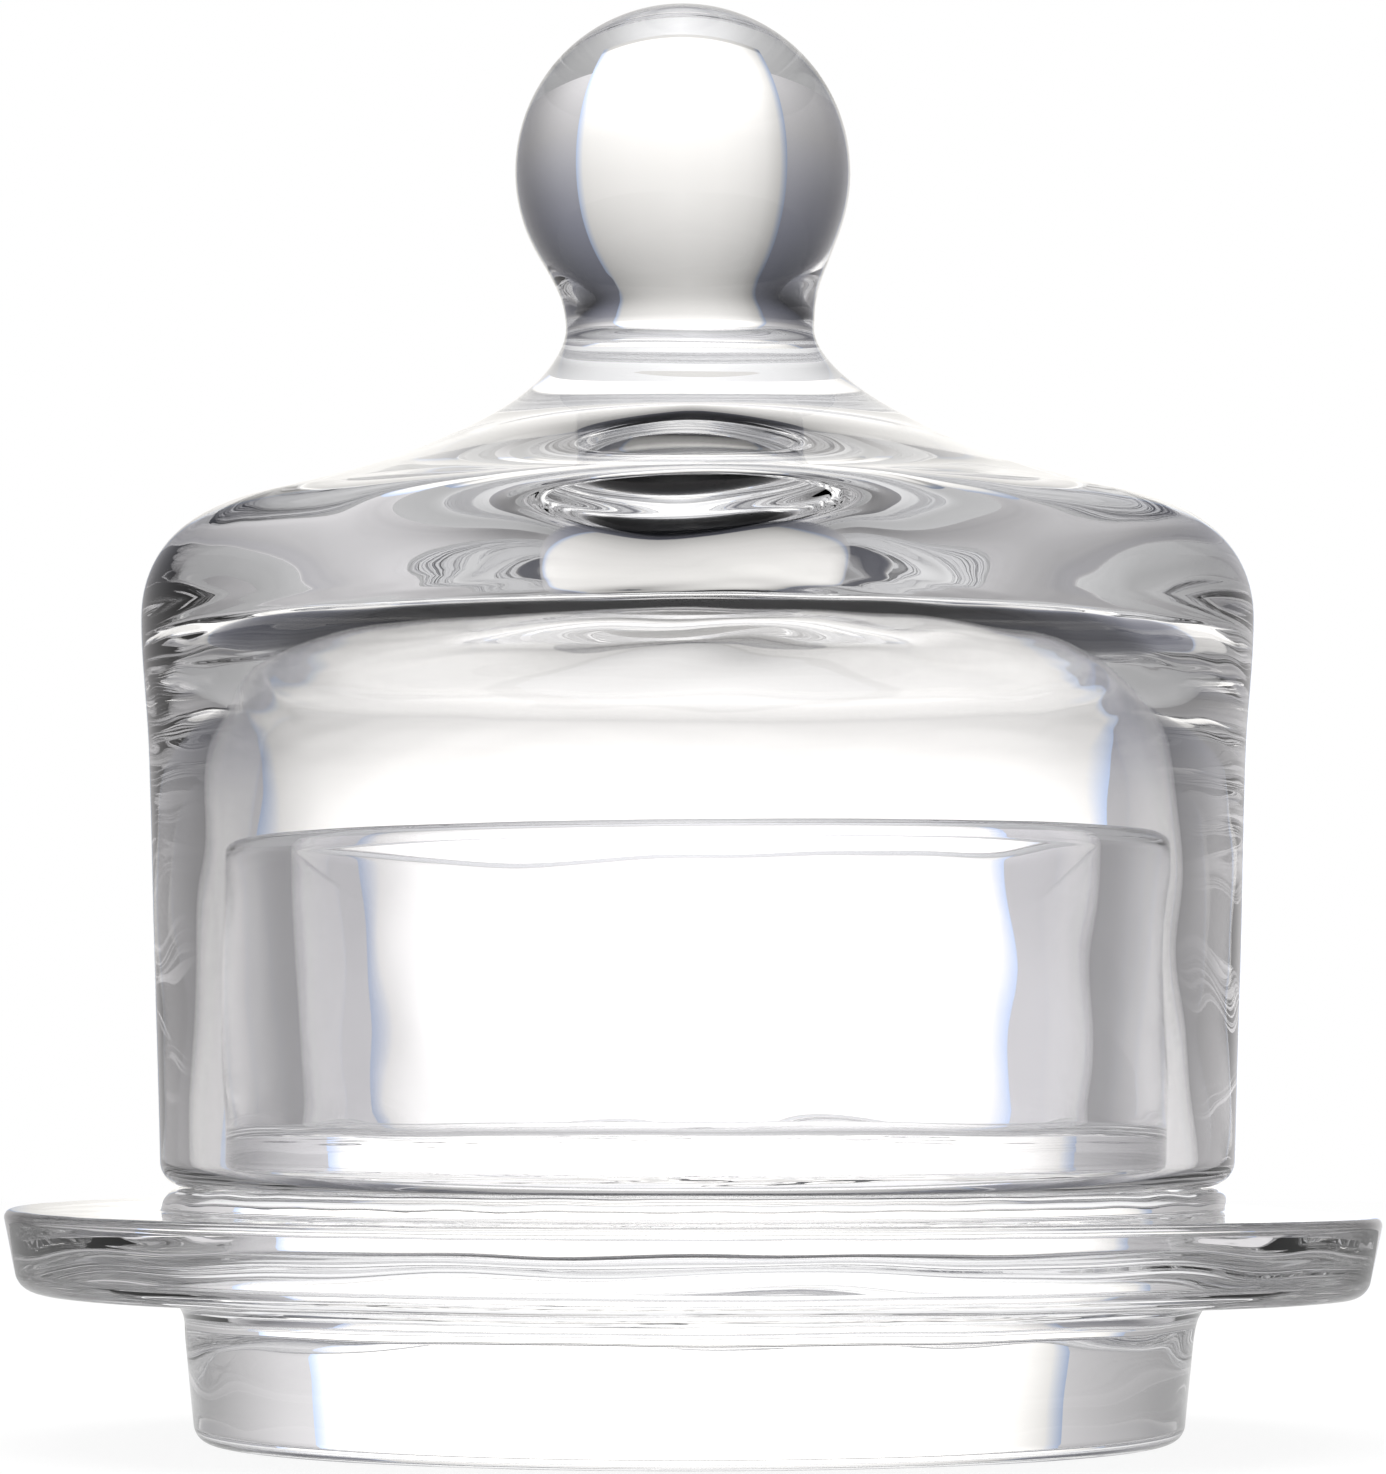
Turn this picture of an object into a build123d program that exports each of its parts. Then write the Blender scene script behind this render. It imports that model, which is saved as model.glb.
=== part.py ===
"""Round covered butter dish in clear pressed glass.

Two loose pressings, both turned shapes about Z. The dish is a thick cup on a raised seat, with a wide saucer
flange and a solid round foot. The lid is a thin round wall under a thick shoulder, drawn up through a waisted
neck into a ball knob. It stands on the dish's raised seat, around the cup.

Frame: millimetres, +Z up, origin at the centre of the circle that the foot rests on. Drafts and slopes are in
degrees. Each size below can be changed by itself, and what seats on it or goes round it follows.
"""

from build123d import *
from math import cos, radians, sin, sqrt, tan
import os

# ---- Dish: foot ------------------------------------------------------------------------------------------
FOOT_RADIUS = 42.8             # side of the foot at the table, before its lower edge is rounded
FOOT_HEIGHT = 12.9             # table to the flange's lower face
FOOT_DRAFT = 5.8               # the side leans outwards as it goes up
FOOT_CORNER = 1.7              # rounding of the lower edge
REST_RING_WIDTH = 5.0          # flat ring that stands on the table
BASE_HOLLOW_EDGE = 2.0         # width over which the rest ring rises into the hollow inside it
BASE_HOLLOW = 0.7              # depth of that hollow

# ---- Dish: flange ----------------------------------------------------------------------------------------
FLANGE_RADIUS = 59.8           # at the upper face, before the edge is rounded
FLANGE_THICKNESS = 7.1
FLANGE_DRAFT = 12.0            # the edge leans in towards the foot as it goes down
FLANGE_UPPER_CORNER = 0.7
FLANGE_LOWER_CORNER = 2.0
FOOT_BLEND = 3.2               # inside rounding between foot and flange

# ---- Dish: cup for the butter ----------------------------------------------------------------------------
CUP_RADIUS = 41.3              # outside, at the rim
CUP_HEIGHT = 30.6              # seat to rim
CUP_DRAFT = 0.75               # the outside leans inwards as it goes down
CUP_BLEND = 1.5                # inside rounding between cup and seat
CUP_WALL = 5.9                 # thickness at the rim
RIM_CORNER = 1.1               # rounding of both edges of the rim
WELL_DEPTH = 25.4
WELL_DRAFT = 3.6               # the inside leans inwards as it goes down
WELL_CORNER = 1.0              # rounding between the well's wall and its floor

# ---- Seat: a raised ring of the dish that the lid stands on ----------------------------------------------
SEAT_HEIGHT = 2.0              # above the flange
SEAT_LAP = 0.6                 # how far the flat of the seat reaches out under the lid's rim
SEAT_CORNER = 1.7              # rounding of the seat's outer edge, down to the flange
SEAT_GAP = 0.1                 # air under the lid's rim, which stands on a few high spots of the seat
CUP_CLEARANCE = 2.95           # play between the cup and the inside of the lid, at the seat

# ---- Lid: wall and cavity --------------------------------------------------------------------------------
CAVITY_DRAFT = 2.2             # the inside leans inwards as it goes up
HEADROOM = 18.2                # cup's rim to the edge of the cavity's domed ceiling
CEILING_TURN = 15.3            # height over which the inside swings from its wall into the ceiling
CEILING_INSET = 5.8            # how far in from the rim the ceiling's edge is
CEILING_SLOPE = 16.1           # the ceiling's slope at its edge
WALL_PULL = 10.2               # how far the inside keeps its draft past the start of that swing
BROW_PULL = 2.5                # how far the ceiling's slope reaches out past its edge
DOME_RISE = 8.1                # ceiling's edge to its middle
DOME_PULL = 10.5               # how far the ceiling keeps its slope inside its edge
APEX_PULL = 5.0                # how far the middle of the ceiling stays level
LID_WALL = 2.75                # thickness at the rim
LID_WALL_DRAFT = 1.8           # the straight part of the outside leans outwards as it goes up
LID_OUTER_CORNER = 2.2         # rounding of the rim's outer edge
LID_INNER_CORNER = 0.3         # breaking of the rim's inner edge

# ---- Lid: shoulder and sloping top -----------------------------------------------------------------------
SHOULDER_SWELL = 0.7           # how far the shoulder stands out past the straight part of the wall
SWELL_HEIGHT = 11.9            # top of the straight part to the shoulder's widest place
SHOULDER_RISE = 0.6            # edge of the cavity's ceiling to the shoulder's widest place
CREST_RISE = 10.0              # widest place to the turn where the sloping top begins
CREST_INSET = 8.6              # how far in from the widest place that turn is
CREST_SLOPE = 13.9             # the top's slope at the turn
CROWN_PULL = 7.2               # how far the top keeps its slope past the turn
SIDE_PULL = 3.5                # how far the shoulder keeps upright above its widest place

# ---- Lid: neck and knob ----------------------------------------------------------------------------------
KNOB_RISE = 29.4               # turn of the sloping top to the ball's centre
KNOB_RADIUS = 14.7
NECK_RADIUS = 10.7             # waist of the neck
NECK_HOLLOW = 11.0             # radius of the hollow curve between ball and waist
NECK_PULL = 2.4                # how far the neck keeps upright below the waist
FLARE_START = 3.6              # how far out from the waist the top takes up its slope

# ---- Heights and radii that both pieces share ------------------------------------------------------------
FLANGE_TOP = FOOT_HEIGHT + FLANGE_THICKNESS
SEAT_TOP = FLANGE_TOP + SEAT_HEIGHT
CUP_RIM = SEAT_TOP + CUP_HEIGHT
CUP_FOOT_RADIUS = CUP_RADIUS - CUP_HEIGHT * tan(radians(CUP_DRAFT))
CAVITY_RADIUS = CUP_FOOT_RADIUS + CUP_CLEARANCE
LID_RIM = SEAT_TOP + SEAT_GAP
CEILING = CUP_RIM + HEADROOM


def rounded(face: Face, corners: dict) -> Face:
    """Rounds the corners of a half section, each given as (radius, height): rounding."""
    for place, rounding in corners.items():
        corner = face.vertices().sort_by_distance(Vector(*place))[0]
        face = fillet(corner, rounding)
    return face


def turned(half_section: Face) -> Part:
    """Turns a half section, drawn with the radius across and the height up, once round the Z axis."""
    return revolve(Plane.XZ * half_section, Axis.Z)


def make_dish() -> Part:
    """Foot, flange, raised seat and cup as one pressing."""
    ring_outer = FOOT_RADIUS - FOOT_CORNER
    ring_inner = ring_outer - REST_RING_WIDTH
    seat_edge = CAVITY_RADIUS + SEAT_LAP + SEAT_CORNER
    well_rim_radius = CUP_RADIUS - CUP_WALL

    foot_edge = (FOOT_RADIUS, 0)
    foot_root = (FOOT_RADIUS + FOOT_HEIGHT * tan(radians(FOOT_DRAFT)), FOOT_HEIGHT)
    flange_lower_edge = (FLANGE_RADIUS - FLANGE_THICKNESS * tan(radians(FLANGE_DRAFT)), FOOT_HEIGHT)
    flange_upper_edge = (FLANGE_RADIUS, FLANGE_TOP)
    seat_rim = (seat_edge, SEAT_TOP)
    cup_root = (CUP_FOOT_RADIUS, SEAT_TOP)
    cup_outer_edge = (CUP_RADIUS, CUP_RIM)
    cup_inner_edge = (well_rim_radius, CUP_RIM)
    well_edge = (well_rim_radius - WELL_DEPTH * tan(radians(WELL_DRAFT)), CUP_RIM - WELL_DEPTH)

    outline = Polyline(
        (0, BASE_HOLLOW),
        (ring_inner - BASE_HOLLOW_EDGE, BASE_HOLLOW),
        (ring_inner, 0),
        foot_edge,
        foot_root,
        flange_lower_edge,
        flange_upper_edge,
        (seat_edge, FLANGE_TOP),
        seat_rim,
        cup_root,
        cup_outer_edge,
        cup_inner_edge,
        well_edge,
        (0, CUP_RIM - WELL_DEPTH),
        close=True,
    )
    section = rounded(
        make_face(outline),
        {
            foot_edge: FOOT_CORNER,
            foot_root: FOOT_BLEND,
            flange_lower_edge: FLANGE_LOWER_CORNER,
            flange_upper_edge: FLANGE_UPPER_CORNER,
            seat_rim: SEAT_CORNER,
            cup_root: CUP_BLEND,
            cup_outer_edge: RIM_CORNER,
            cup_inner_edge: RIM_CORNER,
            well_edge: WELL_CORNER,
        },
    )
    return turned(section)


def lid_body() -> Face:
    """Half section of the lid as if it were solid: knob, neck, sloping top, shoulder and wall."""
    # Wall and shoulder. The shoulder's underside swings back to the line of the straight wall.
    rim_edge = (CAVITY_RADIUS + LID_WALL, LID_RIM)
    widest_height = CEILING + SHOULDER_RISE
    wall_top_height = widest_height - SWELL_HEIGHT
    lean = tan(radians(LID_WALL_DRAFT))
    wall_top = (rim_edge[0] + lean * (wall_top_height - LID_RIM), wall_top_height)
    widest = (wall_top[0] + SHOULDER_SWELL, widest_height)
    swing = SWELL_HEIGHT / 3

    # Sloping top. The flare and the shoulder leave the turn along one line, so the surface runs through
    # smoothly.
    level, fall = cos(radians(CREST_SLOPE)), sin(radians(CREST_SLOPE))
    crest = (widest[0] - CREST_INSET, widest_height + CREST_RISE)
    slope_start = NECK_RADIUS + FLARE_START
    flare_handle = (slope_start, crest[1] + (crest[0] - slope_start) * fall / level)

    # Neck and ball. The ball and the hollow curve of the neck touch on the line between their centres.
    knob_centre = crest[1] + KNOB_RISE
    knob_top = (0, knob_centre + KNOB_RADIUS)
    reach = KNOB_RADIUS + NECK_HOLLOW
    aside = NECK_RADIUS + NECK_HOLLOW
    below = sqrt(reach**2 - aside**2)
    touch = (KNOB_RADIUS * aside / reach, knob_centre - KNOB_RADIUS * below / reach)
    waist = (NECK_RADIUS, knob_centre - below)

    ball = TangentArc(knob_top, touch, tangent=(1, 0))
    hollow = TangentArc(touch, waist, tangent=ball % 1)
    flare = Bezier(waist, (waist[0], waist[1] - NECK_PULL), flare_handle, crest)
    shoulder = Bezier(
        crest,
        (crest[0] + CROWN_PULL * level, crest[1] - CROWN_PULL * fall),
        (widest[0], widest[1] + SIDE_PULL),
        widest,
    )
    under = Bezier(
        widest,
        (widest[0], widest[1] - swing),
        (wall_top[0] + lean * swing, wall_top[1] + swing),
        wall_top,
    )
    rest = Polyline(wall_top, rim_edge, (0, LID_RIM), knob_top)
    face = make_face([ball, hollow, flare, shoulder, under, rest])
    return rounded(face, {rim_edge: LID_OUTER_CORNER})


def lid_cavity() -> Face:
    """Half section of the room inside the lid: a leaning wall that swings into a steep, round-topped dome."""
    lean, rise = radians(CAVITY_DRAFT), radians(CEILING_SLOPE)
    turn_height = CEILING - CEILING_TURN
    turn_start = (CAVITY_RADIUS - (turn_height - LID_RIM) * tan(lean), turn_height)
    ceiling_edge = (CAVITY_RADIUS - CEILING_INSET, CEILING)
    apex = (0, CEILING + DOME_RISE)

    # The swing and the dome leave the ceiling's edge along one line, so the ceiling runs through smoothly.
    swing = Bezier(
        turn_start,
        (turn_start[0] - WALL_PULL * sin(lean), turn_start[1] + WALL_PULL * cos(lean)),
        (ceiling_edge[0] + BROW_PULL * cos(rise), ceiling_edge[1] - BROW_PULL * sin(rise)),
        ceiling_edge,
    )
    dome = Bezier(
        ceiling_edge,
        (ceiling_edge[0] - DOME_PULL * cos(rise), ceiling_edge[1] + DOME_PULL * sin(rise)),
        (APEX_PULL, apex[1]),
        apex,
    )
    walls = Polyline(
        apex,
        (0, LID_RIM),
        (CAVITY_RADIUS + LID_INNER_CORNER, LID_RIM),
        (CAVITY_RADIUS, LID_RIM + LID_INNER_CORNER),
        turn_start,
    )
    return make_face([walls, swing, dome])


def make_lid() -> Part:
    """Knob, neck, shoulder and wall as one pressing, hollow from below."""
    return turned(lid_body() - lid_cavity())


os.makedirs("parts", exist_ok=True)
export_step(make_dish(), "parts/dish.step")
export_step(make_lid(), "parts/lid.step")
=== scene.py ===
"""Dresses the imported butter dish: two pieces of clear pressed glass, a pale floor and soft studio light.

Lengths in the size classes are millimetres; meshes are metres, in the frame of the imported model.
"""

import logging
import math
from dataclasses import dataclass
from enum import Enum

import bpy
import numpy as np
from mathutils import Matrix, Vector


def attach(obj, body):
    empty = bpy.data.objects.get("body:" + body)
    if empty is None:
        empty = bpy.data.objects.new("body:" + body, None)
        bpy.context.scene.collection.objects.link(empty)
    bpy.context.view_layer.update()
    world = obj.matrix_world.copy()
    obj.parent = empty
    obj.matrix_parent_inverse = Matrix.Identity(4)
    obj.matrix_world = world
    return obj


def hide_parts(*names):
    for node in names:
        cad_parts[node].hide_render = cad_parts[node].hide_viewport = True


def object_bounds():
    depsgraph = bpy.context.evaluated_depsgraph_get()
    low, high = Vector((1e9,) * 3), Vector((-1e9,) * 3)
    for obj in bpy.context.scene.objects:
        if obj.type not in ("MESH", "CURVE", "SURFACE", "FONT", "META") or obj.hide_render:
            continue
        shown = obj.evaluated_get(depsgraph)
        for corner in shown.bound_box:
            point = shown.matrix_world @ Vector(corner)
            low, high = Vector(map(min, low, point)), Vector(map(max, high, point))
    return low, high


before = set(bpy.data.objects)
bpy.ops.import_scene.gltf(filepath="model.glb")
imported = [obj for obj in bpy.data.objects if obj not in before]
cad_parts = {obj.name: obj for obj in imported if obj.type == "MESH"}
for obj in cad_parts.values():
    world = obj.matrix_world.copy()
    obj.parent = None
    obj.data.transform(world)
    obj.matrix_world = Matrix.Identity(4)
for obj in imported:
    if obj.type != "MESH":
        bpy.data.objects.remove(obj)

MM = 0.001
PICTURE_HEIGHT = 1474  # pixels
CALM = 14.0  # mm from the axis, inside which a ripple dies away
FINE = 0.04  # mm between the points of a curve before it is thinned out
SPREAD = (0.6, 1.6)  # shortest and longest wave of a ripple, as shares of its length
STEEPEST = 50  # where a fade's exponent is cut off
TURN_OVER = 1.5  # mm over which the rim passes from outside to inside
NORMAL_STEP = 0.01  # mm either way, for the slope of a sag
ROUND, TENT_ROWS = 96, 40  # points round the floor and the tent, and rows of the tent
BOARD_DROP = 0.00002  # m of the floor under the foot
CAD_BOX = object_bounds()
LOG = logging.getLogger("butter_dish")


# ---- Curves of a half section, as arrays of (radius, height) -------------------------------------


def line(start: tuple, end: tuple) -> np.ndarray:
    """Points on a straight run: start + t (end - start), with t evenly spaced from 0 to 1."""
    first, last = np.asarray(start, float), np.asarray(end, float)
    count = max(2, math.ceil(np.hypot(*(last - first)) / FINE) + 1)
    return first + np.linspace(0.0, 1.0, count)[:, None] * (last - first)


def arc(centre: tuple, radius: float, start: float, end: float) -> np.ndarray:
    """Points on a circle: centre + radius (cos a, sin a), with a evenly spaced from start to end."""
    angle = np.linspace(start, end, max(7, math.ceil(abs(end - start) * radius / FINE) + 1))
    return np.column_stack([centre[0] + radius * np.cos(angle), centre[1] + radius * np.sin(angle)])


def bezier(start: tuple, pull: tuple, push: tuple, end: tuple) -> np.ndarray:
    """Points on a cubic Bezier curve: its four points weighted by (1-t)^3, 3t(1-t)^2, 3t^2(1-t) and t^3."""
    p = [np.asarray(q, float) for q in (start, pull, push, end)]
    t = np.linspace(0.0, 1.0, math.ceil(np.hypot(*(p[3] - p[0])) / FINE) + 2)[:, None]
    return (1 - t) ** 3 * p[0] + 3 * t * (1 - t) ** 2 * p[1] + 3 * t**2 * (1 - t) * p[2] + t**3 * p[3]


def joined(runs: list[np.ndarray]) -> np.ndarray:
    """Joins runs of points end to end and drops points that repeat the one before."""
    points = np.vstack(runs)
    apart = np.hypot(*np.diff(points, axis=0).T) > 1e-5
    return points[np.concatenate([[True], apart])]


def rounded_run(corners: list[tuple]) -> np.ndarray:
    """Points along a run of corners, each rounded by an arc that touches both of its sides.

    A rounding of radius R at a corner that turns by the angle T leaves the sides R tan(T / 2) before it.

    Args:
        corners: (radius, height, rounding) of each corner; the two ends have no rounding.

    Returns:
        The points from the first corner to the last.
    """
    place = np.array([c[:2] for c in corners], float)
    runs, at = [], place[0]
    for i in range(1, len(corners) - 1):
        rounding = corners[i][2]
        into = (place[i] - place[i - 1]) / np.hypot(*(place[i] - place[i - 1]))
        out = (place[i + 1] - place[i]) / np.hypot(*(place[i + 1] - place[i]))
        turn = math.atan2(into[0] * out[1] - into[1] * out[0], float(into @ out))
        reach = rounding * math.tan(abs(turn) / 2)
        leave = place[i] - into * reach
        centre = leave + math.copysign(rounding, turn) * np.array([-into[1], into[0]])
        first = math.atan2(leave[1] - centre[1], leave[0] - centre[0])
        runs += [line(at, leave), arc(centre, rounding, first, first + turn)]
        at = place[i] + out * reach
    return joined([*runs, line(at, place[-1])])


def thinned(outline: np.ndarray, count: int, turn_weight: float) -> tuple[np.ndarray, np.ndarray]:
    """Picks points along a fine outline, closer together where it bends.

    The points are evenly spaced in the sum of length + turn_weight * angle turned.

    Args:
        outline: Fine (radius, height) points.
        count: Number of points to pick, both ends included.
        turn_weight: Length, in millimetres, that one radian of bend counts as.

    Returns:
        The points and the unit tangents there.
    """
    step = np.diff(outline, axis=0)
    length = np.hypot(step[:, 0], step[:, 1])
    heading = np.unwrap(np.arctan2(step[:, 1], step[:, 0]))
    middle = np.concatenate([[0.0], np.cumsum(length)])
    centres = (middle[1:] + middle[:-1]) / 2
    at_points = np.interp(middle, centres, heading)
    effort = np.concatenate([[0.0], np.cumsum(length + turn_weight * np.abs(np.diff(at_points)))])
    want = np.interp(np.linspace(0.0, effort[-1], count), effort, middle)
    points = np.column_stack([np.interp(want, middle, outline[:, k]) for k in (0, 1)])
    angle = np.interp(want, middle, at_points)
    return points, np.column_stack([np.cos(angle), np.sin(angle)])


# ---- Unevenness of hand-pressed glass ------------------------------------------------------------


class Face(Enum):
    """Which side of a pressing's half section a change of shape acts on."""

    OUTSIDE = 1
    INSIDE = -1
    BOTH = 0

    def share(self, side: np.ndarray) -> np.ndarray:
        """Weight of the change: (1 + side * value) / 2, or 1 on both; side is 1 outside and -1 inside."""
        return np.ones_like(side) if self is Face.BOTH else (1 + side * self.value) / 2


@dataclass(frozen=True)
class Ripple:
    """Slow unevenness that the mould and the fire polish leave between two heights of one side of a surface.

    At the place s along the outline and the angle a, w = fade * sum of h_k sin(q_k s + m_k a + p_k), with
    m_k whole numbers so that the surface closes. The fade falls to nothing over soft millimetres past the
    two heights, and with (r / CALM)^2 towards the axis.
    """

    height: float
    along: float
    around: float
    seed: int
    low: float = -1e3
    high: float = 1e3
    soft: float = 1.5
    face: Face = Face.BOTH
    terms: int = 9

    def at(self, place: np.ndarray, points: np.ndarray, side: np.ndarray, angle: np.ndarray) -> np.ndarray:
        """Height of the ripple on the grid of places and angles.

        Args:
            place: Length along the outline, in millimetres.
            points: (radius, height) there.
            side: 1 on the outside, -1 on the inside.
            angle: Angles round the axis.

        Returns:
            Heights in millimetres, one row for each place.
        """
        draw = np.random.default_rng(self.seed)
        lengths = self.along * draw.uniform(*SPREAD, self.terms)
        rate = 2 * math.pi / lengths * draw.choice([-1, 1], self.terms)
        lies = (points[:, 1] > self.low) & (points[:, 1] < self.high)
        mean = float(np.mean(points[lies, 0]))
        lobes = np.round(2 * math.pi * mean / (self.around * draw.uniform(*SPREAD, self.terms)))
        phase = draw.uniform(0, 2 * math.pi, self.terms)
        strength = draw.uniform(0.5, 1.0, self.terms) * self.height / math.sqrt(self.terms / 2)
        wave = sum(
            h * np.sin(q * place[:, None] + m * angle[None, :] + p)
            for h, q, m, p in zip(strength, rate, lobes, phase)
        )
        rise, fall = (points[:, 1] - self.low) / self.soft, (self.high - points[:, 1]) / self.soft
        rise, fall = np.clip(rise, -STEEPEST, STEEPEST), np.clip(fall, -STEEPEST, STEEPEST)
        fade = 1 / (1 + np.exp(-rise)) / (1 + np.exp(-fall))
        return wave * (fade * np.clip(points[:, 0] / CALM, 0, 1) ** 2 * self.face.share(side))[:, None]


@dataclass(frozen=True)
class Bump:
    """One low swelling or dent: w = height * exp(-((z - level) / tall)^2 - ((a - turn) / wide)^2).

    Angles are in degrees.
    """

    height: float
    level: float
    tall: float
    turn: float
    wide: float
    face: Face = Face.BOTH

    def at(self, place: np.ndarray, points: np.ndarray, side: np.ndarray, angle: np.ndarray) -> np.ndarray:
        """Height of the bump on the grid of places and angles; the arguments are those of Ripple.at."""
        off = (np.degrees(angle) - self.turn + 180) % 360 - 180
        along = np.exp(-(((points[:, 1] - self.level) / self.tall) ** 2)) * self.face.share(side)
        return self.height * along[:, None] * np.exp(-((off / self.wide) ** 2))[None, :]


@dataclass(frozen=True)
class Drift:
    """How the centre of a hand-pressed piece wanders: (height, x, y, rise along x) steps, in millimetres."""

    steps: tuple

    def at(self, height: np.ndarray) -> np.ndarray:
        """Rows of x, y and rise, smoothly interpolated at the heights."""
        table = np.array(self.steps, float)
        step = np.clip(np.searchsorted(table[:, 0], height) - 1, 0, len(table) - 2)
        t = np.clip((height - table[step, 0]) / (table[step + 1, 0] - table[step, 0]), 0, 1)
        t = (t * t * (3 - 2 * t))[:, None]
        return table[step, 1:] * (1 - t) + table[step + 1, 1:] * t


@dataclass(frozen=True)
class Sag:
    """Lift of a flange's rim where the hot pressing settled unevenly, most at the back.

    With u = x / r and v = y / r, lift = -(tilt u + dish u^2) (1 + v) / 2 * s, and s smoothly from 0 to 1
    over the radii start to end.
    """

    tilt: float
    dish: float
    start: float
    end: float

    def lift(self, x: np.ndarray, y: np.ndarray) -> np.ndarray:
        """Lift in millimetres at the places x and y."""
        radius = np.maximum(np.hypot(x, y), 1e-6)
        u, v = x / radius, y / radius
        t = np.clip((radius - self.start) / (self.end - self.start), 0, 1)
        return -(self.tilt * u + self.dish * u * u) * (1 + v) / 2 * t * t * (3 - 2 * t)


# ---- Turned surfaces -----------------------------------------------------------------------------


def turned_mesh(
    name: str,
    outline: np.ndarray,
    count: int,
    around: int,
    rim: float,
    drifts: tuple[Drift, Drift],
    shapes: list[Ripple | Bump],
    sag: Sag = Sag(0.0, 0.0, 0.0, 1.0),
    turn_weight: float = 4.0,
) -> bpy.types.Object:
    """Turns a half section once round Z into a closed mesh with one point at each pole and exact normals.

    The point at the place s and the angle a is (R cos a + x, R sin a + y, z + n_z w + g R cos a), with
    R = r + n_r w, n the outline's outward normal, w the sum of the ripples and bumps, (x, y) the centre's
    drift and g its rise.

    Args:
        name: Name of the piece.
        outline: Fine (radius, height) points in millimetres, with both ends on the axis.
        count: Number of rings, poles included.
        around: Number of points round the axis.
        rim: Height of the rim, where the outside passes into the inside.
        drifts: The centre's drift, outside and inside.
        shapes: Unevenness of the surface.
        sag: Lift of the flange; a lift L(x, y) turns the normal n to (n_x - n_z dL/dx, n_y - n_z dL/dy, n_z).
        turn_weight: Length that one radian of bend counts as in the spacing of the rings.

    Returns:
        The new object, linked to the scene.
    """
    points, tangent = thinned(outline, count, turn_weight)
    area = np.sum(points[:-1, 0] * points[1:, 1] - points[1:, 0] * points[:-1, 1])
    outward = 1.0 if area > 0 else -1.0
    normal = outward * np.column_stack([tangent[:, 1], -tangent[:, 0]])
    normal[[0, -1], 0] = 0.0
    place = np.concatenate([[0.0], np.cumsum(np.hypot(*np.diff(points, axis=0).T))])
    turn_over = place[np.argmin(np.abs(points[:, 1] - rim) + (points[:, 0] < points[:, 0].max() / 2) * 1e3)]
    side = np.tanh((turn_over - place) / TURN_OVER)
    angle = np.linspace(0.0, 2 * math.pi, around, endpoint=False)
    wave = sum((shape.at(place, points, side, angle) for shape in shapes), np.zeros((count, around)))
    wave[[0, -1]] = 0.0
    slope_along = np.gradient(wave, place, axis=0)
    spin = np.roll(wave, -1, axis=1) - np.roll(wave, 1, axis=1)
    slope_around = spin / (2 * (angle[1] - angle[0])) / np.maximum(points[:, :1], 0.5)
    cosine, sine = np.cos(angle)[None, :], np.sin(angle)[None, :]
    out_share = (1 + side[:, None]) / 2
    drift = drifts[0].at(points[:, 1]) * out_share + drifts[1].at(points[:, 1]) * (1 - out_share)
    radius = points[:, :1] + normal[:, :1] * wave
    height = points[:, 1:] + normal[:, 1:] * wave
    across = radius * cosine
    grid = np.stack(
        [across + drift[:, :1], radius * sine + drift[:, 1:2], height + drift[:, 2:] * across], axis=-1
    )
    lean_r = normal[:, :1] - slope_along * tangent[:, :1]
    lean_z = normal[:, 1:] - slope_along * tangent[:, 1:]
    normals = np.stack(
        [lean_r * cosine + slope_around * sine, lean_r * sine - slope_around * cosine, lean_z], axis=-1
    )
    x, y, h = grid[..., 0], grid[..., 1], NORMAL_STEP
    for k, (a, b) in enumerate(((h, 0.0), (0.0, h))):
        normals[..., k] -= normals[..., 2] * (sag.lift(x + a, y + b) - sag.lift(x - a, y - b)) / (2 * h)
    grid[..., 2] += sag.lift(x, y)
    rings = grid[1:-1].reshape(-1, 3)
    vertices = np.clip(np.vstack([rings, grid[0, 0], grid[-1, 0]]) * MM, *CAD_BOX)
    corner_normals = np.vstack([normals[1:-1].reshape(-1, 3), [0, 0, normal[0, 1]], [0, 0, normal[-1, 1]]])
    corner_normals /= np.linalg.norm(corner_normals, axis=1)[:, None]
    row = np.arange(count - 3)[:, None] * around
    col = np.arange(around)[None, :]
    nxt = (col + 1) % around
    quads = np.stack([row + col, row + nxt, row + around + nxt, row + around + col], axis=-1).reshape(-1, 4)
    last, first_pole = (count - 3) * around, (count - 2) * around
    start_cap = np.column_stack([np.full(around, first_pole), nxt[0], col[0]])
    end_cap = np.column_stack([np.full(around, first_pole + 1), last + col[0], last + nxt[0]])
    if outward < 0:
        quads, start_cap, end_cap = quads[:, ::-1], start_cap[:, ::-1], end_cap[:, ::-1]
    mesh = bpy.data.meshes.new(name)
    mesh.from_pydata(vertices, [], quads.tolist() + start_cap.tolist() + end_cap.tolist())
    mesh.shade_smooth()
    mesh.normals_split_custom_set_from_vertices(corner_normals)
    mesh.update()
    piece = bpy.data.objects.new(name, mesh)
    bpy.context.scene.collection.objects.link(piece)
    return piece


# ---- Colour and node helpers ---------------------------------------------------------------------


def linear(code: str) -> tuple[float, float, float, float]:
    """Turns an sRGB hex colour into linear RGBA by c / 12.92, or ((c + 0.055) / 1.055) ^ 2.4."""
    value = np.array([int(code[i : i + 2], 16) for i in (1, 3, 5)]) / 255
    curve = np.where(value <= 0.04045, value / 12.92, ((value + 0.055) / 1.055) ** 2.4)
    return (*(float(c) for c in curve), 1.0)


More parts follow.
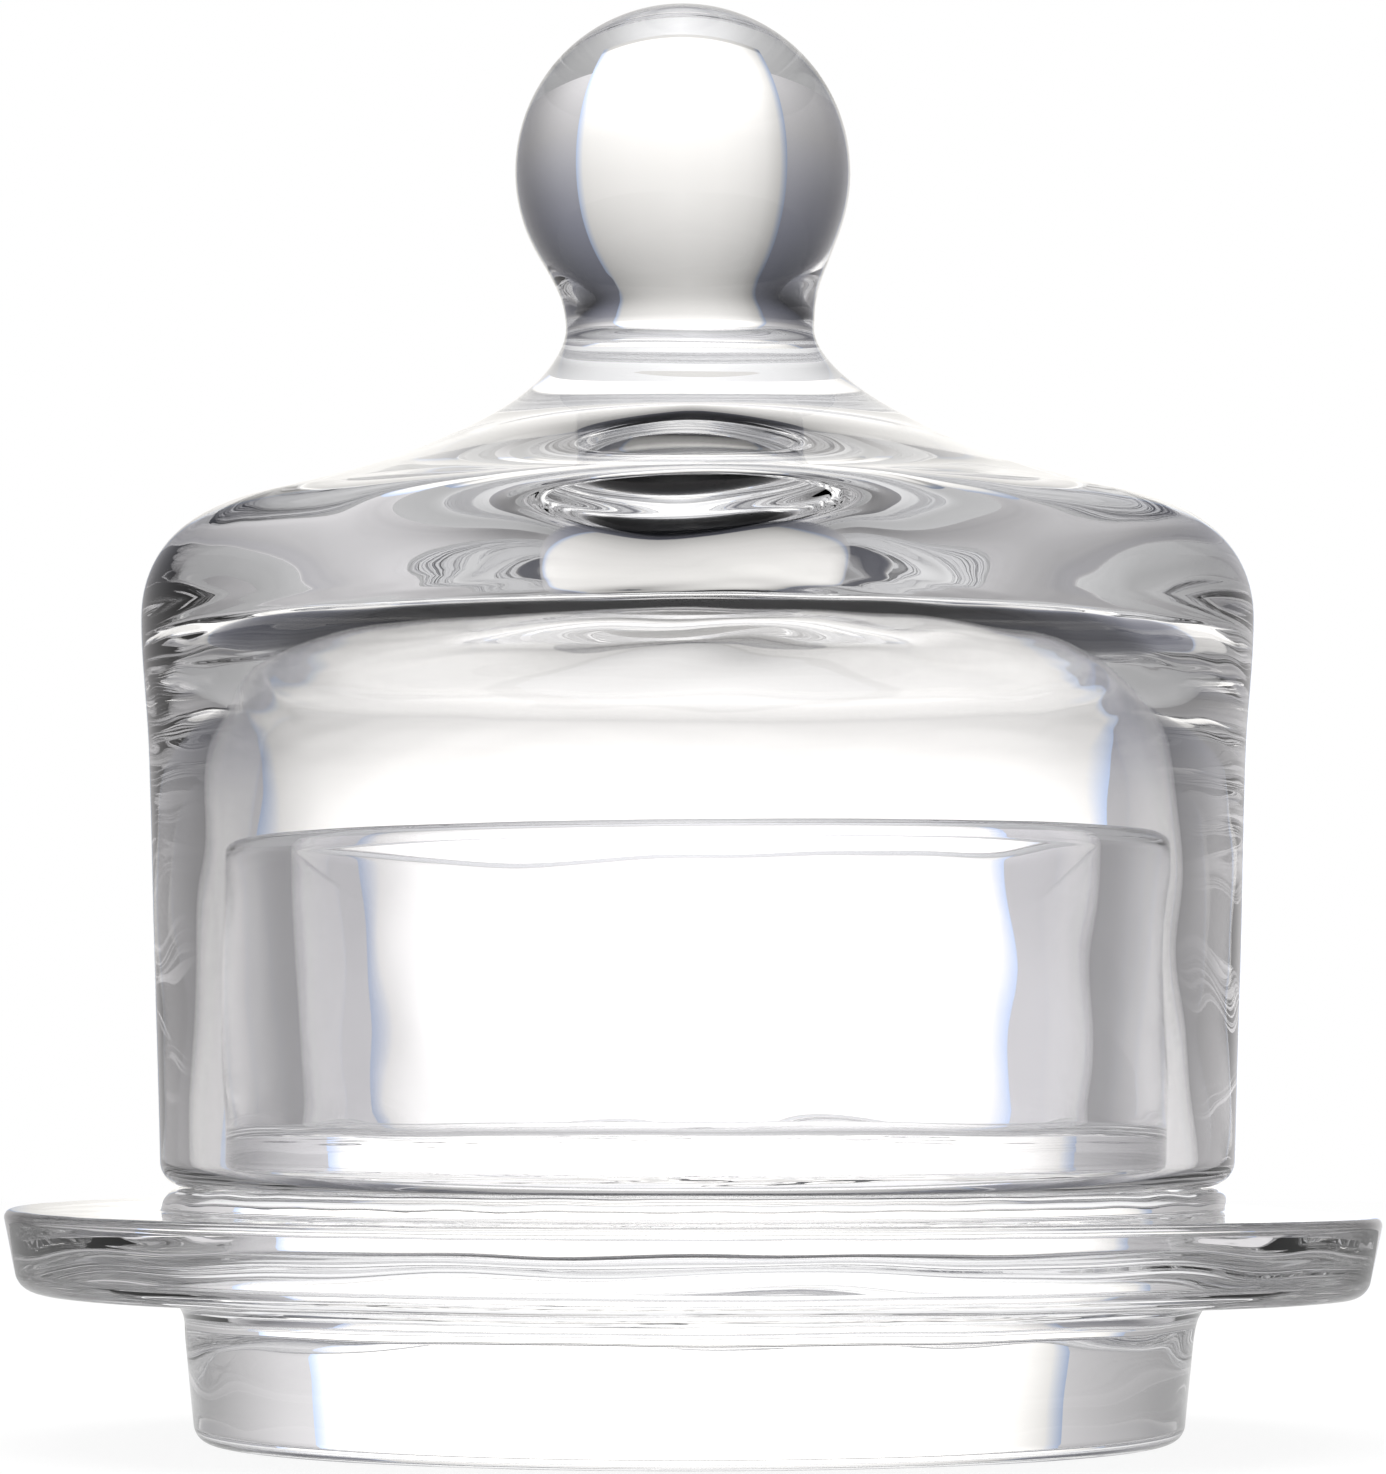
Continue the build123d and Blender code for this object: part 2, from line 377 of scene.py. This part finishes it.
def node(tree: bpy.types.NodeTree, kind: str, settings: dict | None = None, **inputs) -> bpy.types.Node:
    """Adds a node, with its settings and its inputs' values or links.

    Args:
        tree: Node tree that takes the node.
        kind: Blender's name of the node type.
        settings: Attributes of the node, by name.
        **inputs: Value or output socket for each input, by name with _ for a space, or i0, i1 for its number.

    Returns:
        The new node.
    """
    made = tree.nodes.new(kind)
    for name, value in (settings or {}).items():
        setattr(made, name, value)
    for name, value in inputs.items():
        number = name[1:] if name[0] == "i" and name[1:].isdigit() else None
        socket = made.inputs[int(number)] if number else made.inputs[name.replace("_", " ")]
        if isinstance(value, bpy.types.NodeSocket):
            tree.links.new(value, socket)
        else:
            socket.default_value = value
    return made


def fresh_material(name: str) -> tuple[bpy.types.Material, bpy.types.NodeTree]:
    """Makes a material with an empty node tree."""
    material = bpy.data.materials.new(name)
    material.use_nodes = True
    material.node_tree.nodes.clear()
    return material, material.node_tree


# ---- Finishes ------------------------------------------------------------------------------------


@dataclass(frozen=True)
class PressedGlass:
    """Clear soda-lime glass, pressed in a mould and fire polished.

    It is colourless, with the faintest cool tint in its thick parts. The polish leaves a mirror-smooth skin
    with a slow orange-peel swell, and the ring that stands on the table is worn to a faint haze.
    """

    name: str = "pressed_soda_lime_glass_fire_polished"
    tint: str = "#FDFDFE"
    ior: float = 1.52
    swell_length: float = 9.0
    swell_height: float = 0.0015
    polish: float = 0.004
    worn: float = 0.22
    worn_below: float = 0.12
    scuff_length: float = 0.8

    def material(self) -> bpy.types.Material:
        """Builds the material.

        Returns:
            A Principled glass whose bump is the swell and whose roughness rises on the worn rest ring.
        """
        material, tree = fresh_material(self.name)
        place = node(tree, "ShaderNodeTexCoord")
        split = node(tree, "ShaderNodeSeparateXYZ", Vector=place.outputs["Object"])
        swell = node(
            tree,
            "ShaderNodeTexNoise",
            Vector=place.outputs["Object"],
            Scale=1 / (self.swell_length * MM),
            Detail=1.0,
            Roughness=0.4,
        )
        bump = node(
            tree,
            "ShaderNodeBump",
            Strength=1.0,
            Distance=self.swell_height * MM,
            Height=swell.outputs["Fac"],
        )
        scuff = node(
            tree,
            "ShaderNodeTexNoise",
            Vector=place.outputs["Object"],
            Scale=1 / (self.scuff_length * MM),
            Detail=3.0,
            Roughness=0.6,
        )
        low = node(
            tree,
            "ShaderNodeMapRange",
            {"interpolation_type": "SMOOTHSTEP"},
            Value=split.outputs["Z"],
            From_Min=0.0,
            From_Max=self.worn_below * MM,
            To_Min=1.0,
            To_Max=0.0,
        )
        rubbed = node(
            tree, "ShaderNodeMath", {"operation": "MULTIPLY"}, i0=low.outputs[0], i1=scuff.outputs["Fac"]
        )
        roughness = node(
            tree, "ShaderNodeMapRange", Value=rubbed.outputs[0], To_Min=self.polish, To_Max=self.worn
        )
        shader = node(
            tree,
            "ShaderNodeBsdfPrincipled",
            Base_Color=linear(self.tint),
            Roughness=roughness.outputs[0],
            IOR=self.ior,
            Transmission_Weight=1.0,
            Normal=bump.outputs["Normal"],
        )
        node(tree, "ShaderNodeOutputMaterial", Surface=shader.outputs[0])
        return material


# ---- The dish ------------------------------------------------------------------------------------


@dataclass(frozen=True)
class Dish:
    """Foot, flange, raised seat and cup as one pressing; the sizes are those of the solid."""

    foot_radius: float = 42.8
    foot_height: float = 12.9
    foot_draft: float = 5.8
    foot_corner: float = 1.7
    ring_width: float = 5.0
    hollow_edge: float = 2.0
    hollow: float = 0.7
    hollow_corner: float = 1.5
    flange_radius: float = 59.8
    flange_thickness: float = 7.1
    flange_draft: float = 12.0
    flange_upper: float = 0.7
    flange_lower: float = 2.0
    foot_blend: float = 3.2
    cup_radius: float = 41.3
    cup_height: float = 30.6
    cup_draft: float = 0.75
    cup_blend: float = 1.5
    cup_wall: float = 5.9
    rim_corner: float = 1.1
    well_depth: float = 25.4
    well_draft: float = 3.6
    well_corner: float = 1.0
    seat_height: float = 2.0
    seat_lap: float = 0.6
    seat_corner: float = 1.7
    seat_foot: float = 0.3
    cup_clearance: float = 2.95
    drift: Drift = Drift(
        (
            (0, -0.3, 0, 0),
            (9, -0.3, 0, 0),
            (13, 0, 0, 0),
            (20, 0, 0, 0),
            (22, 0.38, 0, 0),
            (52.6, 0.38, 0, 0.008),
        )
    )

    @property
    def flange_top(self) -> float:
        """Height of the flange's upper face."""
        return self.foot_height + self.flange_thickness

    @property
    def seat_top(self) -> float:
        """Height of the seat."""
        return self.flange_top + self.seat_height

    @property
    def cup_rim(self) -> float:
        """Height of the cup's rim."""
        return self.seat_top + self.cup_height

    @property
    def well_floor(self) -> float:
        """Height of the well's floor."""
        return self.cup_rim - self.well_depth

    @property
    def cup_foot_radius(self) -> float:
        """Outside of the cup at the seat."""
        return self.cup_radius - self.cup_height * math.tan(math.radians(self.cup_draft))

    @property
    def cavity_radius(self) -> float:
        """Inside of the lid at its rim."""
        return self.cup_foot_radius + self.cup_clearance

    def outline(self) -> np.ndarray:
        """Half section from the middle of the base, round the outside, to the middle of the well's floor."""
        ring_inner = self.foot_radius - self.foot_corner - self.ring_width
        seat_edge = self.cavity_radius + self.seat_lap + self.seat_corner
        well_radius = self.cup_radius - self.cup_wall
        foot_root = self.foot_radius + self.foot_height * math.tan(math.radians(self.foot_draft))
        flange_root = self.flange_radius - self.flange_thickness * math.tan(math.radians(self.flange_draft))
        floor_edge = well_radius - self.well_depth * math.tan(math.radians(self.well_draft))
        return rounded_run(
            [
                (0, self.hollow, 0),
                (ring_inner - self.hollow_edge, self.hollow, self.hollow_corner),
                (ring_inner, 0, self.hollow_corner),
                (self.foot_radius, 0, self.foot_corner),
                (foot_root, self.foot_height, self.foot_blend),
                (flange_root, self.foot_height, self.flange_lower),
                (self.flange_radius, self.flange_top, self.flange_upper),
                (seat_edge, self.flange_top, self.seat_foot),
                (seat_edge, self.seat_top, self.seat_corner - self.seat_foot),
                (self.cup_foot_radius, self.seat_top, self.cup_blend),
                (self.cup_radius, self.cup_rim, self.rim_corner),
                (well_radius, self.cup_rim, self.rim_corner),
                (floor_edge, self.well_floor, self.well_corner),
                (0, self.well_floor, 0),
            ]
        )

    def build(self, glass: bpy.types.Material) -> bpy.types.Object:
        """Builds the pressing and puts it in the place of the solid.

        Args:
            glass: Its material.

        Returns:
            The piece.
        """
        piece = turned_mesh(
            "dish_pressing",
            self.outline(),
            count=300,
            around=320,
            rim=self.cup_rim,
            drifts=(self.drift, self.drift),
            shapes=[
                Ripple(0.02, 35.0, 30.0, 3, 23.0, 49.0, 2.0),
                Ripple(0.1, 9.0, 15.0, 9, self.well_floor, self.well_floor + 1.2, 0.6, Face.INSIDE),
                Ripple(0.012, 12.0, 18.0, 4, 1.0, 20.5, 0.5),
                Ripple(0.025, 6.0, 45.0, 17, 9.5, 14.0, 1.0, Face.OUTSIDE),
                Ripple(0.04, 5.0, 9.0, 21, 20.6, 22.6, 0.5, Face.OUTSIDE),
            ],
            sag=Sag(0.85, 0.43, 49.0, 59.5),
        )
        piece.data.materials.append(glass)
        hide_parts("dish")
        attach(piece, "dish")
        return piece


# ---- The lid -------------------------------------------------------------------------------------


@dataclass(frozen=True)
class Lid:
    """Knob, neck, sloping top, shoulder and wall as one pressing; the sizes are those of the solid."""

    dish: Dish
    headroom: float = 18.2
    cavity_draft: float = 2.2
    turn_height: float = 15.3
    turn_pull: float = 10.2
    ceiling_inset: float = 5.8
    ceiling_slope: float = 16.1
    ceiling_pull: float = 2.5
    dome_rise: float = 8.1
    slope_pull: float = 10.5
    dome_pull: float = 5.0
    wall: float = 2.75
    wall_draft: float = 1.8
    outer_corner: float = 2.2
    inner_corner: float = 0.3
    seat_gap: float = 0.1
    shoulder_swell: float = 0.7
    swell_height: float = 11.9
    shoulder_rise: float = 0.6
    crest_rise: float = 10.0
    crest_inset: float = 8.6
    crest_slope: float = 13.9
    crown_pull: float = 7.2
    side_pull: float = 3.5
    knob_rise: float = 29.4
    knob_radius: float = 14.7
    neck_radius: float = 10.7
    neck_drop: float = 13.77
    neck_dip: float = 22.4
    nape_pull: float = 3.5
    neck_pull: float = 2.4
    flare_start: float = 3.6

    def outline(self) -> np.ndarray:
        """Half section from the knob's top, down the outside, under the rim and up to the ceiling."""
        rim = self.dish.seat_top + self.seat_gap
        inside = self.dish.cavity_radius
        ceiling = self.dish.cup_rim + self.headroom
        rim_edge = (inside + self.wall, rim)
        widest_height = ceiling + self.shoulder_rise
        lean = math.tan(math.radians(self.wall_draft))
        wall_height = widest_height - self.swell_height
        wall_top = (rim_edge[0] + lean * (wall_height - rim), wall_height)
        widest = (wall_top[0] + self.shoulder_swell, widest_height)
        swing = self.swell_height / 3
        level, fall = math.cos(math.radians(self.crest_slope)), math.sin(math.radians(self.crest_slope))
        crest = (widest[0] - self.crest_inset, widest_height + self.crest_rise)
        slope_start = self.neck_radius + self.flare_start
        flare_handle = (slope_start, crest[1] + (crest[0] - slope_start) * fall / level)
        knob = crest[1] + self.knob_rise
        waist = (self.neck_radius, knob - self.neck_drop)
        dip = math.radians(self.neck_dip)
        ball_end = (self.knob_radius * math.cos(dip), knob - self.knob_radius * math.sin(dip))
        nape = (ball_end[0] - self.nape_pull * math.sin(dip), ball_end[1] - self.nape_pull * math.cos(dip))
        draft, slope = math.radians(self.cavity_draft), math.radians(self.ceiling_slope)
        turn = (inside - (ceiling - self.turn_height - rim) * math.tan(draft), ceiling - self.turn_height)
        edge = (inside - self.ceiling_inset, ceiling)
        top = ceiling + self.dome_rise
        wall = rounded_run(
            [(*wall_top, 0), (*rim_edge, self.outer_corner), (inside, rim, self.inner_corner), (*turn, 0)]
        )
        turn_up = bezier(
            turn,
            (turn[0] - self.turn_pull * math.sin(draft), turn[1] + self.turn_pull * math.cos(draft)),
            (edge[0] + self.ceiling_pull * math.cos(slope), edge[1] - self.ceiling_pull * math.sin(slope)),
            edge,
        )
        dome = bezier(
            edge,
            (edge[0] - self.slope_pull * math.cos(slope), edge[1] + self.slope_pull * math.sin(slope)),
            (self.dome_pull, top),
            (0, top),
        )
        return joined(
            [
                arc((0, knob), self.knob_radius, math.pi / 2, -dip),
                bezier(ball_end, nape, (waist[0], waist[1] + self.nape_pull), waist),
                bezier(waist, (waist[0], waist[1] - self.neck_pull), flare_handle, crest),
                bezier(
                    crest,
                    (crest[0] + self.crown_pull * level, crest[1] - self.crown_pull * fall),
                    (widest[0], widest[1] + self.side_pull),
                    widest,
                ),
                bezier(
                    widest,
                    (widest[0], widest[1] - swing),
                    (wall_top[0] + lean * swing, wall_top[1] + swing),
                    wall_top,
                ),
                wall,
                turn_up,
                dome,
            ]
        )

    def build(self, glass: bpy.types.Material) -> bpy.types.Object:
        """Builds the pressing and puts it in the place of the solid.

        Args:
            glass: Its material.

        Returns:
            The piece.
        """
        piece = turned_mesh(
            "lid_pressing",
            self.outline(),
            count=330,
            around=288,
            rim=self.dish.seat_top + self.seat_gap,
            drifts=(
                Drift(
                    (
                        (22, 0.4, 0, 0),
                        (88, 0.4, 0, 0),
                        (97, -0.45, 0, 0),
                        (106, -0.9, 0, 0),
                        (126, -0.9, 0, 0),
                    )
                ),
                Drift(((22, 0.1, 0, 0), (40, -0.2, 0, 0), (57, 0, 0, 0), (80, 0, 0, 0))),
            ),
            shapes=[
                Ripple(0.018, 32.0, 30.0, 5, 24.0, 120.0, 3.0),
                Ripple(0.02, 5.0, 13.0, 8, 94.7, 97.7, 0.7, Face.OUTSIDE),
                Ripple(0.03, 7.0, 12.0, 11, 64.0, 71.0, 1.0, Face.INSIDE),
                Ripple(0.01, 12.0, 14.0, 14, 25.0, 62.0, 3.0, Face.INSIDE),
                Bump(0.35, 97.2, 4.0, 0.0, 70.0, Face.OUTSIDE),
                Bump(0.45, 101.0, 4.0, 80.0, 60.0, Face.OUTSIDE),
            ],
        )
        piece.data.materials.append(glass)
        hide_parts("lid")
        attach(piece, "lid")
        return piece


# ---- Studio --------------------------------------------------------------------------------------


def grey_steps(
    tree: bpy.types.NodeTree, value: bpy.types.NodeSocket, steps: tuple, unit: float
) -> bpy.types.NodeSocket:
    """Turns a value into light through straight lines between steps.

    Args:
        tree: Node tree that takes the nodes.
        value: Output that holds the value.
        steps: (value, light) pairs, in order.
        unit: What one of the steps' values is in the output's own unit.

    Returns:
        The output that holds the light.
    """
    low, high = steps[0][0], steps[-1][0]
    most = max(light for _, light in steps)
    share = node(tree, "ShaderNodeMapRange", Value=value, From_Min=low * unit, From_Max=high * unit)
    curve = node(tree, "ShaderNodeFloatCurve", Value=share.outputs[0])
    line_points = curve.mapping.curves[0].points
    while len(line_points) < len(steps):
        line_points.new(0.5, 0.5)
    for point, (at, light) in zip(line_points, steps):
        point.location = ((at - low) / (high - low), light / most)
        point.handle_type = "VECTOR"
    curve.mapping.update()
    return node(tree, "ShaderNodeMath", {"operation": "MULTIPLY"}, i0=curve.outputs[0], i1=most).outputs[0]


@dataclass(frozen=True)
class Studio:
    """Pale floor, a tall soft window behind, a dim light tent, soft lamps, a white world and the camera.

    The window and the tent are seen only in reflections and refractions. Steps are (millimetres, light), or
    (degrees, light) for the tent.
    """

    floor_radius: float = 900.0
    floor_glow: float = 0.9
    world_light: float = 0.75
    window_distance: float = 178.0
    window_half_width: float = 85.0
    window_height: float = 330.0
    window_rise_light: tuple = (
        (0, 0.88), (6.5, 0.92), (9, 1.5), (40, 1.8), (62, 1.75), (87, 1.45), (112, 1.15), (137, 0.97),
        (162, 0.83), (187, 0.68), (212, 0.52), (240, 0.38), (280, 0.2), (330, 0.03)
    )
    window_side_gain: tuple = (
        (-85, 0.4), (-75, 0.56), (-60, 0.77), (-45, 0.88), (-25, 0.97), (0, 1.0), (30, 0.97), (50, 0.92),
        (67, 0.87), (85, 0.78)
    )
    window_fringe: float = 9.0
    tent_radius: float = 300.0
    tent_low: float = -4.0
    tent_cool: tuple = (18, 42)
    tent_turn_light: tuple = (
        (-180, 0.62), (-140, 0.6), (-115, 0.48), (-95, 0.36), (-75, 0.24), (-60, 0.24), (-51, 0.29),
        (-45, 0.34), (-39, 0.38), (-33, 0.44), (-28, 0.5), (0, 0.6), (28, 0.68), (33, 0.62), (39, 0.52),
        (45, 0.42), (51, 0.34), (60, 0.26), (75, 0.24), (95, 0.36), (115, 0.48), (140, 0.6), (180, 0.62)
    )
    tent_rise_gain: tuple = (
        (0, 1.4), (5, 1.32), (10, 1.18), (15, 1.02), (20, 0.87), (25, 0.74), (30, 0.6), (35, 0.47),
        (43, 0.32), (52, 0.16), (60, 0.02), (63, 0.0), (90, 0.0)
    )
    # Painted light on the floor, seen only in reflections and refractions: brightest in the middle, fading to
    # the sides.
    painted_floor_side_light: tuple = (
        (-900, 0.2), (-300, 0.3), (-215, 0.32), (-155, 0.36), (-110, 0.43), (-75, 0.54), (-40, 0.9),
        (-20, 1.0), (0, 1.15), (20, 1.0), (40, 0.9), (75, 0.54), (110, 0.43), (155, 0.36), (215, 0.32),
        (300, 0.3), (900, 0.2)
    )
    # Painted light on the floor, seen only in reflections and refractions: darker towards the front,
    # brightest behind the dish.
    painted_floor_depth_gain: tuple = ((-900, 0.6), (-250, 0.65), (-90, 0.45), (0, 0.7), (60, 1.0), (900, 1.0))
    camera_distance: float = 551.6
    camera_height: float = 33.5
    camera_pitch: float = 2.87
    focal_pixels: float = 6322.0
    sensor: float = 36.0

    def camera(self) -> bpy.types.Object:
        """Puts a long lens in front of the dish, a little above the flange and looking slightly up."""
        lens = bpy.data.cameras.new("studio_camera")
        lens.sensor_width = self.sensor
        lens.lens = self.focal_pixels * self.sensor / PICTURE_HEIGHT
        lens.clip_start, lens.clip_end = 0.01, 20.0
        camera = bpy.data.objects.new("studio_camera", lens)
        camera.location = (0.0, -self.camera_distance * MM, self.camera_height * MM)
        camera.rotation_euler = (math.radians(90 + self.camera_pitch), 0.0, 0.0)
        bpy.context.scene.collection.objects.link(camera)
        bpy.context.scene.camera = camera
        return camera

    def world(self) -> None:
        """White where the camera looks straight at it, a little less for the light that it gives."""
        world = bpy.data.worlds.new("studio_white")
        world.use_nodes = True
        tree = world.node_tree
        tree.nodes.clear()
        path = node(tree, "ShaderNodeLightPath")
        strength = node(
            tree,
            "ShaderNodeMapRange",
            Value=path.outputs["Is Camera Ray"],
            To_Min=self.world_light,
            To_Max=1.0,
        )
        sky = node(tree, "ShaderNodeBackground", Color=linear("#FFFFFF"), Strength=strength.outputs[0])
        node(tree, "ShaderNodeOutputWorld", Surface=sky.outputs[0])
        bpy.context.scene.world = world

    def floor(self) -> bpy.types.Object:
        """Lays a flat disc of pale board under the dish; it looks white but keeps the dish's shadow. In
        reflections and refractions it shows a painted pool of light, brightest in a band straight behind the
        dish and fading to the sides and towards the front.
        """
        angle = np.linspace(0, 2 * math.pi, ROUND, endpoint=False)
        ring = np.column_stack([np.cos(angle), np.sin(angle), 0 * angle]) * self.floor_radius * MM
        board = stage_mesh("studio_floor", ring, [list(range(ROUND))])
        board.location = (0, 0, -BOARD_DROP)
        material, tree = fresh_material("matt_white_board_painted_light")
        path = node(tree, "ShaderNodeLightPath")
        place = node(tree, "ShaderNodeTexCoord")
        split = node(tree, "ShaderNodeSeparateXYZ", Vector=place.outputs["Object"])
        # Painted pool of light on the floor, shown only to glossy and transmission rays; camera rays see
        # plain white.
        side = grey_steps(tree, split.outputs["X"], self.painted_floor_side_light, MM)
        depth = grey_steps(tree, split.outputs["Y"], self.painted_floor_depth_gain, MM)
        painted_floor_light = node(tree, "ShaderNodeMath", {"operation": "MULTIPLY"}, i0=side, i1=depth).outputs[0]
        inside = node(
            tree,
            "ShaderNodeMath",
            {"operation": "MAXIMUM"},
            i0=path.outputs["Is Glossy Ray"],
            i1=path.outputs["Is Transmission Ray"],
        )
        camera = node(tree, "ShaderNodeMix", {"data_type": "FLOAT"}, i0=inside.outputs[0], i2=1.0, i3=painted_floor_light)
        seen = node(
            tree,
            "ShaderNodeMath",
            {"operation": "MAXIMUM"},
            i0=path.outputs["Is Camera Ray"],
            i1=inside.outputs[0],
        )
        share = node(
            tree, "ShaderNodeMath", {"operation": "MULTIPLY"}, i0=seen.outputs[0], i1=self.floor_glow
        )
        matt = node(tree, "ShaderNodeBsdfDiffuse", Color=linear("#F4F4F4"))
        white = node(tree, "ShaderNodeEmission", Color=linear("#FFFFFF"), Strength=camera.outputs[0])
        mix = node(tree, "ShaderNodeMixShader", Fac=share.outputs[0], i1=matt.outputs[0], i2=white.outputs[0])
        node(tree, "ShaderNodeOutputMaterial", Surface=mix.outputs[0])
        board.data.materials.append(material)
        return board

    def window(self) -> bpy.types.Object:
        """Stands the flat soft window behind the dish; its light fades upwards."""
        half, top = self.window_half_width, self.window_height
        corners = np.array([(-half, 0, 0), (half, 0, 0), (half, 0, top), (-half, 0, top)], float)
        corners[:, 1] = self.window_distance
        window = stage_mesh("soft_window", corners * MM, [[0, 1, 2, 3]])
        unseen_light(window)
        material, tree = fresh_material("lit_diffusion_cloth")
        place = node(tree, "ShaderNodeTexCoord")
        split = node(tree, "ShaderNodeSeparateXYZ", Vector=place.outputs["Object"])
        rise = grey_steps(tree, split.outputs["Z"], self.window_rise_light, MM)
        side = grey_steps(tree, split.outputs["X"], self.window_side_gain, MM)
        light = node(tree, "ShaderNodeMath", {"operation": "MULTIPLY"}, i0=rise, i1=side)
        off = node(tree, "ShaderNodeMath", {"operation": "ABSOLUTE"}, i0=split.outputs["X"])
        fringe = node(
            tree,
            "ShaderNodeMapRange",
            Value=off.outputs[0],
            From_Min=(half - self.window_fringe) * MM,
            From_Max=half * MM,
        )
        colour = node(
            tree,
            "ShaderNodeMix",
            {"data_type": "RGBA"},
            i0=fringe.outputs[0],
            i6=linear("#FFFDF9"),
            i7=linear("#C6D8F8"),
        )
        glow = node(tree, "ShaderNodeEmission", Color=colour.outputs[2], Strength=light.outputs[0])
        node(tree, "ShaderNodeOutputMaterial", Surface=glow.outputs[0])
        material.cycles.emission_sampling = "NONE"
        window.data.materials.append(material)
        return window

    def tent(self) -> bpy.types.Object:
        """Hangs a half ball of dim cloth about the dish: R (cos e sin a, cos e cos a, sin e)."""
        turn = np.linspace(0, 2 * math.pi, ROUND, endpoint=False)
        rise = np.radians(np.linspace(self.tent_low, 90, TENT_ROWS))[:, None]
        grid = np.stack(
            [np.cos(rise) * np.sin(turn), np.cos(rise) * np.cos(turn), np.sin(rise) + 0 * turn], axis=-1
        )
        row, col = np.arange(TENT_ROWS - 1)[:, None] * ROUND, np.arange(ROUND)[None, :]
        nxt = (col + 1) % ROUND
        quads = np.stack([row + col, row + ROUND + col, row + ROUND + nxt, row + nxt], axis=-1).reshape(-1, 4)
        tent = stage_mesh("light_tent", grid.reshape(-1, 3) * self.tent_radius * MM, quads.tolist())
        unseen_light(tent)
        material, tree = fresh_material("dim_tent_cloth")
        place = node(tree, "ShaderNodeTexCoord")
        unit = node(tree, "ShaderNodeVectorMath", {"operation": "NORMALIZE"}, i0=place.outputs["Object"])
        split = node(tree, "ShaderNodeSeparateXYZ", Vector=unit.outputs[0])
        turned = node(
            tree, "ShaderNodeMath", {"operation": "ARCTAN2"}, i0=split.outputs["X"], i1=split.outputs["Y"]
        )
        up = node(tree, "ShaderNodeMath", {"operation": "ARCSINE"}, i0=split.outputs["Z"])
        level = grey_steps(tree, turned.outputs[0], self.tent_turn_light, math.radians(1))
        gain = grey_steps(tree, up.outputs[0], self.tent_rise_gain, math.radians(1))
        light = node(tree, "ShaderNodeMath", {"operation": "MULTIPLY"}, i0=level, i1=gain)
        cool_from, cool_to = (math.radians(degrees) for degrees in self.tent_cool)
        high = node(
            tree, "ShaderNodeMapRange", Value=up.outputs[0], From_Min=cool_from, From_Max=cool_to
        )
        colour = node(
            tree,
            "ShaderNodeMix",
            {"data_type": "RGBA"},
            i0=high.outputs[0],
            i6=linear("#FBF9FA"),
            i7=linear("#E8EBFF"),
        )
        glow = node(tree, "ShaderNodeEmission", Color=colour.outputs[2], Strength=light.outputs[0])
        node(tree, "ShaderNodeOutputMaterial", Surface=glow.outputs[0])
        material.cycles.emission_sampling = "NONE"
        tent.data.materials.append(material)
        return tent

    def lamps(self) -> None:
        """Hangs one wide soft lamp overhead and a weaker one at each side."""
        for name, place, size, watts in (
            ("soft_lamp_above", (0.0, 0.1, 0.9), 0.8, 6.0),
            ("soft_lamp_left", (-0.8, -0.5, 0.6), 0.6, 2.5),
            ("soft_lamp_right", (0.8, -0.5, 0.6), 0.6, 2.5),
        ):
            light = bpy.data.lights.new(name, "AREA")
            light.shape, light.size, light.energy = "DISK", size, watts
            lamp = bpy.data.objects.new(name, light)
            lamp.location = place
            lamp.rotation_euler = (-Vector(place)).to_track_quat("-Z", "Y").to_euler()
            bpy.context.scene.collection.objects.link(lamp)

    def render_depth(self) -> None:
        """Lets light pass through all the walls of glass that stand behind one another."""
        cycles = bpy.context.scene.cycles
        cycles.max_bounces = 32
        cycles.transmission_bounces = 32
        cycles.glossy_bounces = 16
        cycles.blur_glossy = 0.0

    def build(self) -> None:
        """Sets up the whole studio."""
        self.camera()
        self.world()
        self.floor()
        self.window()
        self.tent()
        self.lamps()
        self.render_depth()


def stage_mesh(name: str, vertices: np.ndarray, faces: list) -> bpy.types.Object:
    """Makes a mesh of the studio, which isn't part of the dish.

    Args:
        name: Name of the object.
        vertices: Corners, in metres.
        faces: Corner numbers of each face.

    Returns:
        The object, linked to the scene.
    """
    mesh = bpy.data.meshes.new(name)
    mesh.from_pydata(vertices.tolist(), [], faces)
    made = bpy.data.objects.new(name, mesh)
    bpy.context.scene.collection.objects.link(made)
    return made


def unseen_light(surface: bpy.types.Object) -> None:
    """Leaves a surface to reflections and refractions only."""
    surface.visible_camera = surface.visible_diffuse = False
    surface.visible_shadow = surface.visible_volume_scatter = False


def main() -> None:
    """Builds the studio and the two pressings and reports each."""
    logging.basicConfig(level=logging.INFO, format="%(name)s: %(message)s")
    scene = bpy.context.scene
    scene.view_settings.view_transform = "Standard"
    Studio().build()
    LOG.info("studio ready")
    glass = PressedGlass().material()
    dish = Dish()
    for piece in (dish.build(glass), Lid(dish).build(glass)):
        LOG.info("%s: %d faces", piece.name, len(piece.data.polygons))


if __name__ == "__main__":
    main()
